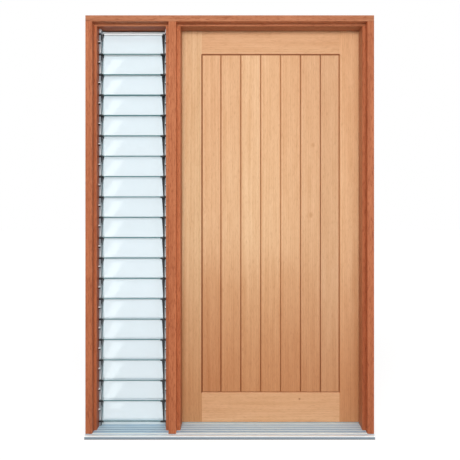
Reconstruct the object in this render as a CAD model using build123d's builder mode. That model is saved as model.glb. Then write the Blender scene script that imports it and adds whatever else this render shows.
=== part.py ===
from build123d import *
import os
from math import cos, radians, sin

# A timber entrance unit: a plank door leaf hung in a double-rebated frame on an aluminium sill,
# with a glass louvre sidelight beside it. X runs along the wall, -Y faces outdoors and Z is up.
# The origin lies on the sill's underside, midway between the jambs. Sizes are in millimetres.

# Door leaf
leaf_width = 937.0
leaf_height = 2040.0
leaf_thickness = 40.0
leaf_gap = 5.0
threshold_gap = 3.0
leaf_lap = 10.0
lock_bevel = 2.0
lock_stile_width = 112.0
hinge_stile_width = 109.0
top_rail_height = 129.0
bottom_rail_height = 152.0
board_count = 7
edge_board_cover = 99.0
board_thickness = 38.0
board_gap = 2.0
vee_chamfer = 3.5
tongue_thickness = 10.0
tongue_length = 9.0
tongue_side_slack = 0.2
tongue_end_slack = 1.0

# Frame
frame_depth = 140.0
jamb_face = 33.0
mullion_face = 37.0
mullion_step = 18.0
head_face = 30.0
stop_step = 17.0
head_step = 12.0
screen_rebate_depth = 30.0
arris_radius = 1.5

# Sill
nose_reach = 16.0
nose_height = 15.0
nose_radius = 5.0
sill_front_height = 20.0
sill_back_height = 25.0
sill_wall = 2.5
sill_cell_count = 4
tread_groove_count = 5
tread_groove_pitch = 19.0
tread_groove_width = 6.0
tread_groove_depth = 1.8

# Hinges
hinge_count = 3
hinge_height = 100.0
hinge_plate_width = 35.0
hinge_plate_thickness = 2.5
hinge_mortise = 1.0
hinge_end_distance = 180.0
knuckle_radius = 6.0
knuckle_count = 5
knuckle_gap = 0.6
knuckle_stand_off = 1.0
pin_radius = 3.0
pin_clearance = 0.1
pin_cap_radius = 4.5
pin_cap_height = 4.0

# Louvre sidelight
sidelight_width = 349.0
light_jamb_step = 13.0
light_stop_depth = 35.0
gallery_housing = 15.0
gallery_depth = 50.0
gallery_show = 10.0
gallery_wall = 2.5
gallery_bend_radius = 1.5
weather_strip_width = 30.0
weather_strip_wall = 2.5
blade_count = 19
blade_above_pivot = 48.0
blade_below_pivot = 64.0
blade_thickness = 6.0
blade_edge_arris = 1.5
blade_tilt = 12.0
blade_pivot_setback = 15.0
blade_head_clearance = 23.0
blade_sill_clearance = 22.0
arm_thickness = 2.0
arm_width = 14.0
arm_end_distance = 6.0
arm_corner = 4.0
boss_radius = 7.0
boss_sides = 12
boss_length = 1.5
clip_top_width = 13.0
clip_low_width = 4.0
clip_length = 42.0
clip_wall = 2.5
foot_width = 22.0
foot_grip = 5.0
lug_height = 14.0
lug_reach = 8.0
lug_corner = 4.0

# Places along the wall
frame_width = jamb_face + light_jamb_step + sidelight_width + 2 * mullion_step + mullion_face
frame_width += leaf_width - 2 * leaf_lap + stop_step + jamb_face
frame_left = -frame_width / 2
frame_right = frame_width / 2
light_left = frame_left + jamb_face + light_jamb_step
light_right = light_left + sidelight_width
door_left = light_right + mullion_face + 2 * mullion_step
door_right = frame_right - jamb_face - stop_step
leaf_left = door_left - leaf_lap
leaf_right = door_right + leaf_lap
panel_left = leaf_left + lock_stile_width
panel_right = leaf_right - hinge_stile_width

# Places through the wall
front = -frame_depth / 2
back = frame_depth / 2
stop_front = front + screen_rebate_depth
leaf_front = back - leaf_thickness
leaf_middle = back - leaf_thickness / 2
stop_back = leaf_front - leaf_gap
light_stop_back = stop_front + light_stop_depth

# Heights
leaf_bottom = sill_back_height + threshold_gap
leaf_top = leaf_bottom + leaf_height
head_stop_soffit = leaf_top - leaf_lap
head_leaf_soffit = leaf_top + leaf_gap
head_screen_soffit = head_stop_soffit + head_step
head_top = head_screen_soffit + head_face
panel_bottom = leaf_bottom + bottom_rail_height
panel_top = leaf_top - top_rail_height

os.makedirs("parts", exist_ok=True)


def keep(builder, label):
    """Label a finished piece and write its file."""
    builder.part.label = label
    export_step(builder.part, f"parts/{label}.step")


def near(y, z, places):
    """Whether a point of a section lies at one of the listed places."""
    return any(abs(y - place_y) + abs(z - place_z) < 0.01 for place_y, place_z in places)


def corners_at(sketch, places):
    """The corners of a sketch that lie at the listed places."""
    return [corner for corner in sketch.vertices() if near(corner.X, corner.Y, places)]


def edges_at(builder, places):
    """The edges along the wall that pass through the listed places of a section."""
    along = builder.edges().filter_by(Axis.X)
    return [edge for edge in along if near(edge.center().Y, edge.center().Z, places)]


# Head: one moulding over the whole width, rebated outside for a screen and inside for the leaf.
head_outline = [
    (front, head_screen_soffit),
    (stop_front, head_screen_soffit),
    (stop_front, head_stop_soffit),
    (stop_back, head_stop_soffit),
    (stop_back, head_leaf_soffit),
    (back, head_leaf_soffit),
    (back, head_top),
    (front, head_top),
]
head_arrises = [(front, head_screen_soffit), (stop_front, head_stop_soffit)]

with BuildPart() as head:
    with BuildSketch(Plane.YZ.offset(frame_left)):
        with BuildLine():
            Polyline(*head_outline, close=True)
        make_face()
    extrude(amount=frame_width)
    fillet(edges_at(head, head_arrises), arris_radius)
keep(head, "head")

# The square-edged head and the sill's upper surface, to which the uprights are scribed.
with BuildPart() as head_scribe:
    with BuildSketch(Plane.YZ.offset(frame_left)):
        with BuildLine():
            Polyline(*head_outline, close=True)
        make_face()
    extrude(amount=frame_width)

sill_crest = [(front, sill_front_height), (stop_back, sill_back_height), (back, sill_back_height)]

with BuildPart() as sill_scribe:
    with BuildSketch(Plane.YZ.offset(frame_left)):
        with BuildLine():
            Polyline((front, 0), *sill_crest, (back, 0), close=True)
        make_face()
    extrude(amount=frame_width)

# Uprights: each section steps from its narrow face to the stop and back to the inner rebate.
left_jamb_outline = [
    (frame_left, front),
    (frame_left + jamb_face, front),
    (frame_left + jamb_face, stop_front),
    (light_left, stop_front),
    (light_left, light_stop_back),
    (light_left - gallery_housing, light_stop_back),
    (light_left - gallery_housing, back),
    (frame_left, back),
]
mullion_outline = [
    (light_right + mullion_step, front),
    (door_left - mullion_step, front),
    (door_left - mullion_step, stop_front),
    (door_left, stop_front),
    (door_left, stop_back),
    (leaf_left - leaf_gap, stop_back),
    (leaf_left - leaf_gap, back),
    (light_right + gallery_housing, back),
    (light_right + gallery_housing, light_stop_back),
    (light_right, light_stop_back),
    (light_right, stop_front),
    (light_right + mullion_step, stop_front),
]
right_jamb_outline = [
    (frame_right, front),
    (frame_right, back),
    (leaf_right + leaf_gap, back),
    (leaf_right + leaf_gap, stop_back),
    (door_right, stop_back),
    (door_right, stop_front),
    (frame_right - jamb_face, stop_front),
    (frame_right - jamb_face, front),
]
left_jamb_arrises = [(frame_left + jamb_face, front), (light_left, stop_front)]
right_jamb_arrises = [(frame_right - jamb_face, front), (door_right, stop_front)]
mullion_arrises = [
    (light_right + mullion_step, front),
    (door_left - mullion_step, front),
    (light_right, stop_front),
    (door_left, stop_front),
]

with BuildPart() as left_jamb:
    with BuildSketch() as left_jamb_section:
        with BuildLine():
            Polyline(*left_jamb_outline, close=True)
        make_face()
        fillet(corners_at(left_jamb_section, left_jamb_arrises), arris_radius)
    extrude(amount=head_top)
    add(head_scribe.part, mode=Mode.SUBTRACT)
    add(sill_scribe.part, mode=Mode.SUBTRACT)
keep(left_jamb, "left_jamb")

with BuildPart() as mullion:
    with BuildSketch() as mullion_section:
        with BuildLine():
            Polyline(*mullion_outline, close=True)
        make_face()
        fillet(corners_at(mullion_section, mullion_arrises), arris_radius)
    extrude(amount=head_top)
    add(head_scribe.part, mode=Mode.SUBTRACT)
    add(sill_scribe.part, mode=Mode.SUBTRACT)
keep(mullion, "mullion")

# Hinges stand in the gap between the leaf's right edge and its jamb, with their pins just inside.
hinge_axis_x = leaf_right + leaf_gap / 2
hinge_axis_y = back + knuckle_radius + knuckle_stand_off
hinge_low = leaf_bottom + hinge_end_distance
hinge_high = leaf_top - hinge_end_distance - hinge_height
hinge_step = (hinge_high - hinge_low) / (hinge_count - 1)
hinge_bases = [hinge_low + hinge_step * i for i in range(hinge_count)]
hinge_plate_end = hinge_axis_y - hinge_plate_width
frame_plate_face = leaf_right + leaf_gap + hinge_mortise
door_plate_face = leaf_right - hinge_mortise

with BuildPart() as right_jamb:
    with BuildSketch() as right_jamb_section:
        with BuildLine():
            Polyline(*right_jamb_outline, close=True)
        make_face()
        fillet(corners_at(right_jamb_section, right_jamb_arrises), arris_radius)
    extrude(amount=head_top)
    add(head_scribe.part, mode=Mode.SUBTRACT)
    add(sill_scribe.part, mode=Mode.SUBTRACT)
    for base in hinge_bases:
        with BuildSketch(Plane.XY.offset(base)):
            with Locations((frame_plate_face, hinge_plate_end)):
                Rectangle(hinge_mortise, back - hinge_plate_end, align=(Align.MAX, Align.MIN))
        extrude(amount=hinge_height, mode=Mode.SUBTRACT)
keep(right_jamb, "right_jamb")


# Sill: a hollow extrusion with a rounded nose and grooves along its sloping tread.
def crest_height(y):
    """Height of the sill's upper surface at a place through the wall."""
    if y >= stop_back:
        return sill_back_height
    slope = (sill_back_height - sill_front_height) / (stop_back - front)
    return sill_front_height + slope * (y - front)


nose_front = front - nose_reach
cell_front = front + sill_wall
cell_pitch = (back - cell_front) / sill_cell_count

with BuildPart() as sill:
    with BuildSketch(Plane.YZ.offset(frame_left)) as sill_section:
        with BuildLine():
            Polyline((nose_front, 0), (nose_front, nose_height), *sill_crest, (back, 0), close=True)
        make_face()
        fillet(corners_at(sill_section, [(nose_front, nose_height)]), nose_radius)
        for i in range(tread_groove_count):
            y = front + tread_groove_pitch * i
            with Locations((y, crest_height(y) - tread_groove_depth)):
                Rectangle(tread_groove_width, 2 * tread_groove_depth,
                          align=(Align.CENTER, Align.MIN), mode=Mode.SUBTRACT)
        for i in range(sill_cell_count):
            cell_near = cell_front + cell_pitch * i
            cell_far = cell_near + cell_pitch - sill_wall
            roof = tread_groove_depth + sill_wall
            with BuildLine():
                Polyline((cell_near, sill_wall), (cell_far, sill_wall),
                         (cell_far, crest_height(cell_far) - roof),
                         (cell_near, crest_height(cell_near) - roof), close=True)
            make_face(mode=Mode.SUBTRACT)
    extrude(amount=frame_width)
keep(sill, "sill")

# Leaf framing: stiles run the full height and the rails tongue into their grooves.
groove_width = tongue_thickness + 2 * tongue_side_slack
groove_depth = tongue_length + tongue_end_slack
panel_width = panel_right - panel_left
panel_height = panel_top - panel_bottom
panel_centre_x = (panel_left + panel_right) / 2
panel_centre_z = (panel_bottom + panel_top) / 2
outer_face = Plane((panel_centre_x, leaf_front, panel_centre_z), x_dir=(-1, 0, 0), z_dir=(0, 1, 0))
inner_face = Plane((panel_centre_x, back, panel_centre_z), x_dir=(1, 0, 0), z_dir=(0, -1, 0))

# The vee cut runs round the boarded panel on both faces, mitred at its corners.
with BuildPart() as panel_vee:
    for face in (outer_face, inner_face):
        with BuildSketch(face):
            Rectangle(panel_width + 2 * vee_chamfer, panel_height + 2 * vee_chamfer)
        extrude(amount=vee_chamfer, taper=45)

with BuildPart() as lock_stile:
    with BuildSketch(Plane.XY.offset(leaf_bottom)):
        with BuildLine():
            Polyline((leaf_left + lock_bevel, leaf_front), (panel_left, leaf_front),
                     (panel_left, back), (leaf_left, back), close=True)
        make_face()
        with Locations((panel_left, leaf_middle)):
            Rectangle(groove_depth, groove_width, align=(Align.MAX, Align.CENTER), mode=Mode.SUBTRACT)
    extrude(amount=leaf_height)
    add(panel_vee.part, mode=Mode.SUBTRACT)
keep(lock_stile, "lock_stile")

with BuildPart() as hinge_stile:
    with BuildSketch(Plane.XY.offset(leaf_bottom)):
        with Locations((panel_right, leaf_middle)):
            Rectangle(hinge_stile_width, leaf_thickness, align=(Align.MIN, Align.CENTER))
            Rectangle(groove_depth, groove_width, align=(Align.MIN, Align.CENTER), mode=Mode.SUBTRACT)
    extrude(amount=leaf_height)
    add(panel_vee.part, mode=Mode.SUBTRACT)
    for base in hinge_bases:
        with BuildSketch(Plane.XY.offset(base)):
            with Locations((door_plate_face, hinge_plate_end)):
                Rectangle(hinge_mortise, back - hinge_plate_end, align=(Align.MIN, Align.MIN))
        extrude(amount=hinge_height, mode=Mode.SUBTRACT)
keep(hinge_stile, "hinge_stile")

for label, low, high, grooved_edge, groove_side in (
    ("top_rail", panel_top, leaf_top, panel_top, Align.MIN),
    ("bottom_rail", leaf_bottom, panel_bottom, panel_bottom, Align.MAX),
):
    with BuildPart() as rail:
        with BuildSketch(Plane.XY.offset(low)):
            with Locations((panel_centre_x, leaf_middle)):
                Rectangle(panel_width, leaf_thickness)
                Rectangle(panel_width + 2 * tongue_length, tongue_thickness)
        extrude(amount=high - low)
        with BuildSketch(Plane.YZ.offset(panel_left - tongue_length)):
            with Locations((leaf_middle, grooved_edge)):
                Rectangle(groove_width, groove_depth, align=(Align.CENTER, groove_side))
        extrude(amount=panel_width + 2 * tongue_length, mode=Mode.SUBTRACT)
        add(panel_vee.part, mode=Mode.SUBTRACT)
    keep(rail, label)

# Boards: tongued and grooved, with the arrises planed off to form the vee joints on both faces. Their
# shoulders stand a little apart, so that the boards can swell, and the tongues bridge the gaps.
middle_board_cover = (panel_width - 2 * edge_board_cover) / (board_count - 2)
board_height = panel_height - 2 * board_gap
tongue_reach = board_gap + tongue_length
joint_left = panel_left

for number in range(1, board_count + 1):
    first = number == 1
    last = number == board_count
    joint_right = joint_left + (edge_board_cover if first or last else middle_board_cover)
    board_left = joint_left + (board_gap if first else board_gap / 2)
    board_right = joint_right - (board_gap if last else board_gap / 2)
    with BuildPart() as plank:
        with BuildSketch(Plane.XY.offset(panel_bottom + board_gap)) as plank_section:
            with Locations((board_left, leaf_middle)):
                Rectangle(board_right - board_left, board_thickness, align=(Align.MIN, Align.CENTER))
            chamfer(plank_section.vertices(), vee_chamfer)
            with Locations((board_right, leaf_middle)):
                Rectangle(tongue_reach, tongue_thickness, align=(Align.MIN, Align.CENTER))
            with Locations((board_left, leaf_middle)):
                if first:
                    Rectangle(tongue_reach, tongue_thickness, align=(Align.MAX, Align.CENTER))
                else:
                    Rectangle(groove_depth, groove_width,
                              align=(Align.MIN, Align.CENTER), mode=Mode.SUBTRACT)
        extrude(amount=board_height)
        face_edges = plank.edges().filter_by(Axis.X).group_by(Axis.Y)
        chamfer(face_edges[0] + face_edges[-1], vee_chamfer)
        with BuildSketch(Plane.XY.offset(panel_bottom - tongue_length)):
            end_tongue_left = board_left if first else board_left + groove_depth
            with Locations((end_tongue_left, leaf_middle)):
                Rectangle(board_right - end_tongue_left, tongue_thickness, align=(Align.MIN, Align.CENTER))
        extrude(amount=panel_height + 2 * tongue_length)
    keep(plank, f"plank_{number}")
    joint_left = joint_right

# Butt hinges: knuckles alternate between the frame's plates, which hold the pins, and the door's.
knuckle_pitch = hinge_height / knuckle_count
knuckle_length = knuckle_pitch - knuckle_gap
frame_knuckles = range(0, knuckle_count, 2)
door_knuckles = range(1, knuckle_count, 2)


for label, plate_face, plate_side, own_knuckles, other_knuckles in (
    ("frame_hinge_leaves", frame_plate_face, Align.MAX, frame_knuckles, door_knuckles),
    ("door_hinge_leaves", door_plate_face, Align.MIN, door_knuckles, frame_knuckles),
):
    with BuildPart() as hinge_leaves:
        for base in hinge_bases:
            with BuildSketch(Plane.XY.offset(base)):
                with Locations((plate_face, hinge_plate_end)):
                    Rectangle(hinge_plate_thickness, hinge_plate_width, align=(plate_side, Align.MIN))
            extrude(amount=hinge_height)
            for k in other_knuckles:
                with BuildSketch(Plane.XY.offset(base + knuckle_pitch * k)):
                    with Locations((hinge_axis_x, hinge_axis_y)):
                        Circle(knuckle_radius + knuckle_gap)
                extrude(amount=knuckle_pitch, mode=Mode.SUBTRACT)
            for k in own_knuckles:
                with BuildSketch(Plane.XY.offset(base + knuckle_pitch * k + knuckle_gap / 2)):
                    with Locations((hinge_axis_x, hinge_axis_y)):
                        Circle(knuckle_radius)
                extrude(amount=knuckle_length)
            if own_knuckles == frame_knuckles:
                with BuildSketch(Plane.XY.offset(base + knuckle_gap / 2)):
                    with Locations((hinge_axis_x, hinge_axis_y)):
                        Circle(pin_radius)
                extrude(amount=hinge_height - knuckle_gap)
                with BuildSketch(Plane.XY.offset(base + hinge_height - knuckle_gap / 2)):
                    with Locations((hinge_axis_x, hinge_axis_y)):
                        Circle(pin_cap_radius)
                extrude(amount=pin_cap_height, taper=20)
            else:
                with BuildSketch(Plane.XY.offset(base)):
                    with Locations((hinge_axis_x, hinge_axis_y)):
                        Circle(pin_radius + pin_clearance)
                extrude(amount=hinge_height, mode=Mode.SUBTRACT)
    keep(hinge_leaves, label)

# Louvre galleries: channels that back onto the uprights, each with a row of lugs on its front.
gallery_front = light_stop_back
gallery_width = gallery_housing + gallery_show
web_left = light_left + gallery_show
web_right = light_right - gallery_show
tilt_up = cos(radians(blade_tilt))
tilt_in = sin(radians(blade_tilt))
pivot_y = gallery_front + blade_pivot_setback
top_pivot = head_stop_soffit - blade_head_clearance - blade_above_pivot * tilt_up
low_pivot = sill_back_height + blade_sill_clearance + blade_below_pivot * tilt_up
blade_pitch = (top_pivot - low_pivot) / (blade_count - 1)
pivot_heights = [top_pivot - blade_pitch * i for i in range(blade_count)]

lug_length = gallery_show - gallery_bend_radius

with BuildPart() as lug:
    with BuildSketch(Plane.YZ) as lug_section:
        with Locations((gallery_front, 0)):
            Rectangle(lug_reach, lug_height, align=(Align.MAX, Align.CENTER))
        outer_corners = lug_section.vertices().group_by(Axis.X)[0]
        chamfer(outer_corners, lug_corner)
    extrude(amount=lug_length)

for label, web, open_side, lug_start in (
    ("left_gallery", web_left, Align.MAX, light_left),
    ("right_gallery", web_right, Align.MIN, light_right - lug_length),
):
    outward = -1 if open_side == Align.MAX else 1
    with BuildPart() as gallery:
        with BuildSketch() as gallery_section:
            with Locations((web, gallery_front)):
                Rectangle(gallery_width, gallery_depth, align=(open_side, Align.MIN))
            bends = [(web, gallery_front), (web, gallery_front + gallery_depth)]
            fillet(corners_at(gallery_section, bends), gallery_bend_radius)
            with Locations((web + outward * gallery_wall, gallery_front + gallery_wall)):
                Rectangle(gallery_width - gallery_wall, gallery_depth - 2 * gallery_wall,
                          align=(open_side, Align.MIN), mode=Mode.SUBTRACT)
        extrude(amount=head_top)
        add(head_scribe.part, mode=Mode.SUBTRACT)
        add(sill_scribe.part, mode=Mode.SUBTRACT)
        with Locations(*[(lug_start, 0, z) for z in pivot_heights]):
            add(lug.part)
    keep(gallery, label)

# Weather strips: aluminium angles behind the head's stop and on the sill, between the galleries.
with BuildPart() as louvre_head_strip:
    with BuildSketch(Plane.YZ.offset(web_left)):
        with Locations((stop_back, head_leaf_soffit)):
            Rectangle(weather_strip_wall, weather_strip_width, align=(Align.MIN, Align.MAX))
            Rectangle(weather_strip_width, weather_strip_wall, align=(Align.MIN, Align.MAX))
    extrude(amount=web_right - web_left)
keep(louvre_head_strip, "louvre_head_strip")

with BuildPart() as louvre_sill_strip:
    with BuildSketch(Plane.YZ.offset(web_left)):
        with Locations((pivot_y, sill_back_height)):
            Rectangle(weather_strip_wall, weather_strip_width, align=(Align.MIN, Align.MIN))
            Rectangle(weather_strip_width, weather_strip_wall, align=(Align.MIN, Align.MIN))
    extrude(amount=web_right - web_left)
keep(louvre_sill_strip, "louvre_sill_strip")

# Blades: each lies on a plane that leans in at the top, with its pivot at the plane's origin.
glass_left = web_left + boss_length + arm_thickness
glass_right = web_right - boss_length - arm_thickness
blade_length = blade_above_pivot + blade_below_pivot
blade_shift = (blade_above_pivot - blade_below_pivot) / 2


def blade_section_plane(x, z):
    """Plane across a blade: its first axis runs up the glass, its second out of the front."""
    return Plane((x, pivot_y, z), x_dir=(0, tilt_in, tilt_up), z_dir=(1, 0, 0))


for number, z in enumerate(pivot_heights, start=1):
    with BuildPart() as blade:
        with BuildSketch(blade_section_plane(glass_left, z)) as blade_section:
            with Locations((blade_shift, 0)):
                Rectangle(blade_length, blade_thickness)
            chamfer(blade_section.vertices(), blade_edge_arris)
        extrude(amount=glass_right - glass_left)
    keep(blade, f"louvre_blade_{number:02d}")

# Blade ends: an aluminium arm turns on its boss and carries the glass, a tapered clip grips the
# glass above the pivot and a foot holds its lower edge.
half_glass = blade_thickness / 2

for side, web, glass_end, inward in (
    ("left", web_left, glass_left, 1),
    ("right", web_right, glass_right, -1),
):
    with BuildPart() as arm:
        with BuildSketch(blade_section_plane(web, 0)):
            RegularPolygon(boss_radius, boss_sides)
        extrude(amount=inward * boss_length)
        with BuildSketch(blade_section_plane(web + inward * boss_length, 0)) as arm_section:
            with Locations((blade_shift, 0)):
                Rectangle(blade_length - 2 * arm_end_distance, arm_width)
            chamfer(arm_section.vertices(), arm_corner)
        extrude(amount=inward * arm_thickness)

    # The clip's plane lies in the middle of the glass: along the blade, then up it.
    clip_plane = Plane((glass_end, pivot_y, 0), x_dir=(inward, 0, 0),
                       z_dir=(0, -inward * tilt_up, inward * tilt_in))
    with BuildPart() as clip:
        with BuildSketch(clip_plane):
            with BuildLine():
                Polyline((0, blade_above_pivot + clip_wall),
                         (clip_top_width, blade_above_pivot + clip_wall),
                         (clip_low_width, blade_above_pivot - clip_length),
                         (0, blade_above_pivot - clip_length), close=True)
            make_face()
        extrude(amount=half_glass + clip_wall, both=True)
        with BuildSketch(clip_plane):
            with Locations((0, blade_above_pivot)):
                Rectangle(clip_top_width, clip_length, align=(Align.MIN, Align.MAX))
        extrude(amount=half_glass, both=True, mode=Mode.SUBTRACT)

    with BuildPart() as foot:
        with BuildSketch(blade_section_plane(web + inward * boss_length, 0)):
            with Locations((-blade_below_pivot - clip_wall, 0)):
                Rectangle(clip_wall + foot_grip, blade_thickness + 2 * clip_wall,
                          align=(Align.MIN, Align.CENTER))
            with Locations((-blade_below_pivot, 0)):
                Rectangle(foot_grip, blade_thickness, align=(Align.MIN, Align.CENTER), mode=Mode.SUBTRACT)
        extrude(amount=inward * foot_width)

    pivot_places = [(0, 0, z) for z in pivot_heights]
    with BuildPart() as arms:
        with Locations(*pivot_places):
            add(arm.part)
    keep(arms, f"{side}_blade_arms")

    with BuildPart() as clips:
        with Locations(*pivot_places):
            add(clip.part)
            add(foot.part)
    keep(clips, f"{side}_blade_clips")
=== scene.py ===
# %% [markdown]
# # Dressing a plank door with a louvre sidelight
# The door unit comes in as a imported model: a red-brown hardwood frame, a pale plank leaf hung in it, a
# ribbed aluminium sill and a tall stack of glass louvre blades. Its sizes are settled, so this lesson adds
# what a photograph would show on top of them: grain, brushed metal, cut glass, small screws and soft studio
# light. The model is loaded first.

import math
import random

import bmesh
import bpy
from mathutils import Matrix, Vector


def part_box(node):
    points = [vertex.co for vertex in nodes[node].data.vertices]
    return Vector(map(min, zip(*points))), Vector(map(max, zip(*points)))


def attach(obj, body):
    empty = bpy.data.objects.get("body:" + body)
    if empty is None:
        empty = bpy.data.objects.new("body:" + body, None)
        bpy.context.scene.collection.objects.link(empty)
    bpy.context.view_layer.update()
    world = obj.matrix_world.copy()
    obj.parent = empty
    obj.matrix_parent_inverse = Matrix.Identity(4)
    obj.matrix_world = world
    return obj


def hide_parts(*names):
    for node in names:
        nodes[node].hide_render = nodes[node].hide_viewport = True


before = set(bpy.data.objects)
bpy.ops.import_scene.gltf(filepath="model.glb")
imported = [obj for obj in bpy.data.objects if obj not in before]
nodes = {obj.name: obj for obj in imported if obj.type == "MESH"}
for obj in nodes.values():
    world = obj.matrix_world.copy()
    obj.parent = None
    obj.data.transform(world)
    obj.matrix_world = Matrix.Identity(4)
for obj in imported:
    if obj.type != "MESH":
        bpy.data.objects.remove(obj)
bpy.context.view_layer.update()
scene = bpy.context.scene
scene.view_settings.view_transform = "Standard"

# %% [markdown]
# The picture was taken from straight in front, a little above the middle of the door. Its lines meet right
# of and above the middle of the frame, so the lens looks level and the frame is shifted a little instead of
# tilted. A level camera keeps every upright upright.

# %% The camera
PHOTO_SIDE = 460.0
SENSOR_WIDTH = 36.0
FOCAL_PIXELS = 430.6
LENS_AXIS_PIXEL = (240.0, 200.0)

camera_data = bpy.data.cameras.new("door_camera")
camera_data.sensor_width = SENSOR_WIDTH
camera_data.lens = SENSOR_WIDTH * FOCAL_PIXELS / PHOTO_SIDE
camera_data.shift_x = (PHOTO_SIDE / 2 - LENS_AXIS_PIXEL[0]) / PHOTO_SIDE
camera_data.shift_y = (LENS_AXIS_PIXEL[1] - PHOTO_SIDE / 2) / PHOTO_SIDE
camera = bpy.data.objects.new("door_camera", camera_data)
camera.location = (0.051, -2.210, 1.182)
camera.rotation_euler = (math.radians(90), 0, 0)
scene.collection.objects.link(camera)
scene.camera = camera
shifts = [round(share, 4) for share in (camera_data.shift_x, camera_data.shift_y)]
print("lens", round(camera_data.lens, 2), "mm, shift", shifts)

# %% [markdown]
# Every finish below is a node tree. A few small helpers keep those trees short: one adds a node and fills
# in its sockets, one does a sum, one blends two colours, and one starts a material.


# %% Helpers for node trees
def add_node(tree, kind, values=None, **settings):
    """Add one shader node, with its settings, and a plain value or a link on each named socket."""
    made = tree.nodes.new(kind)
    for name, value in settings.items():
        setattr(made, name, value)
    for socket, value in (values or {}).items():
        if isinstance(value, bpy.types.NodeSocket):
            tree.links.new(value, made.inputs[socket])
        else:
            made.inputs[socket].default_value = value
    return made


def work_out(tree, operation, *terms):
    """The result of one sum on a few values or sockets."""
    return add_node(tree, "ShaderNodeMath", dict(enumerate(terms)), operation=operation).outputs[0]


def spread(tree, value, from_low, from_high, to_low, to_high, curve="LINEAR"):
    """A value carried over from one range to another and held inside it."""
    values = {"Value": value, "From Min": from_low, "From Max": from_high}
    values.update({"To Min": to_low, "To Max": to_high})
    return add_node(tree, "ShaderNodeMapRange", values, interpolation_type=curve).outputs[0]


def blend_colours(tree, share, first, second, way="MIX"):
    """Two colours blended by a share, where a colour is three linear values or a socket."""
    mixed = add_node(tree, "ShaderNodeMix", {0: share}, data_type="RGBA", blend_type=way)
    for socket, tint in ((mixed.inputs[6], first), (mixed.inputs[7], second)):
        if isinstance(tint, bpy.types.NodeSocket):
            tree.links.new(tint, socket)
        else:
            socket.default_value = (*tint, 1.0)
    return mixed.outputs[2]


def object_place(tree):
    """The place of a point on the piece itself, in metres."""
    return add_node(tree, "ShaderNodeTexCoord").outputs["Object"]


def vector_sum(tree, operation, first, second):
    """The result of one sum on two vectors."""
    return add_node(tree, "ShaderNodeVectorMath", {0: first, 1: second}, operation=operation).outputs[0]


def length_of(tree, vector):
    """The length of a vector."""
    return add_node(tree, "ShaderNodeVectorMath", {0: vector}, operation="LENGTH").outputs["Value"]


def new_finish(name):
    """Start a material: the material, its tree and its Principled shader."""
    finish = bpy.data.materials.new(name)
    finish.use_nodes = True
    return finish, finish.node_tree, finish.node_tree.nodes["Principled BSDF"]


print("helpers ready")

# %% [markdown]
# The door stands on a plain pale floor in front of nothing but white. A brighter lamp would bleach the
# timber, so the white is shown only to the camera, to mirrors and through glass, and the light on the door
# stays plain. The floor adds white to its own shading: less beside the door, where its soft shadow stays to
# be seen, and more far away, where the floor runs out into the white without a line.


# %% Floor and white surroundings
FLOOR_HALF = 14.0
FLOOR_WHITE = (0.55, 0.55, 0.55, 1.0)
NEAR_GLOW = 0.70
FAR_GLOW = 0.79
ROOM_LIGHT = 0.43


def shown_white(tree):
    """1 for rays that the camera, a mirror or glass sends out, and 0 for the light that falls on the door."""
    path = add_node(tree, "ShaderNodeLightPath").outputs
    looked_at = work_out(tree, "MAXIMUM", path["Is Camera Ray"], path["Is Glossy Ray"])
    return work_out(tree, "MAXIMUM", looked_at, path["Is Transmission Ray"])


def pale_floor():
    """Diffuse white that glows a little where it is looked at."""
    finish, tree, shader = new_finish("pale_floor")
    shader.inputs["Base Color"].default_value = FLOOR_WHITE
    shader.inputs["Roughness"].default_value = 0.9
    shader.inputs["Specular IOR Level"].default_value = 0.0
    shader.inputs["Emission Color"].default_value = (1, 1, 1, 1)
    glow = spread(tree, length_of(tree, object_place(tree)), 0.8, 4.0, NEAR_GLOW, FAR_GLOW, "SMOOTHSTEP")
    tree.links.new(work_out(tree, "MULTIPLY", glow, shown_white(tree)), shader.inputs["Emission Strength"])
    return finish


def new_piece(name, shape, *finishes):
    """Turn a finished bmesh into an object that sits at the origin."""
    mesh = bpy.data.meshes.new(name)
    shape.to_mesh(mesh)
    shape.free()
    for finish in finishes:
        mesh.materials.append(finish)
    piece = bpy.data.objects.new(name, mesh)
    scene.collection.objects.link(piece)
    return piece


ground = bmesh.new()
bmesh.ops.create_grid(ground, x_segments=1, y_segments=1, size=FLOOR_HALF)
floor = new_piece("floor", ground, pale_floor())

world = bpy.data.worlds.new("studio")
scene.world = world
world.use_nodes = True
sky = world.node_tree.nodes["Background"]
sky.inputs["Color"].default_value = (1, 1, 1, 1)
sky_level = spread(world.node_tree, shown_white(world.node_tree), 0, 1, ROOM_LIGHT, 1)
world.node_tree.links.new(sky_level, sky.inputs["Strength"])
print("floor", 2 * FLOOR_HALF, "m across, room light", ROOM_LIGHT)

# %% [markdown]
# One wide softbox hangs high in front of the door, as the picture's shading tells: the head throws a short
# soft shadow on the leaf and on the first louvre blade, the reveals left and right of the leaf are equally
# bright, and the light falls off towards the sill. A weak second one stands low at the right and opens up
# the shadows.


# %% Softboxes
def softbox(name, place, target, width, height, power):
    """A rectangular lamp that faces a target."""
    lamp = bpy.data.lights.new(name, "AREA")
    lamp.shape = "RECTANGLE"
    lamp.size = width
    lamp.size_y = height
    lamp.energy = power
    holder = bpy.data.objects.new(name, lamp)
    holder.location = place
    holder.rotation_euler = (Vector(target) - Vector(place)).to_track_quat("-Z", "Y").to_euler()
    scene.collection.objects.link(holder)
    return holder


key = softbox("key_softbox", (-0.1, -3.4, 2.5), (0.0, 0.0, 1.1), 2.4, 1.1, 70)
softbox("fill_softbox", (2.4, -2.8, 1.0), (0.1, 0.0, 0.8), 1.4, 1.4, 12)
key.visible_glossy = False
key.visible_transmission = False

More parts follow.
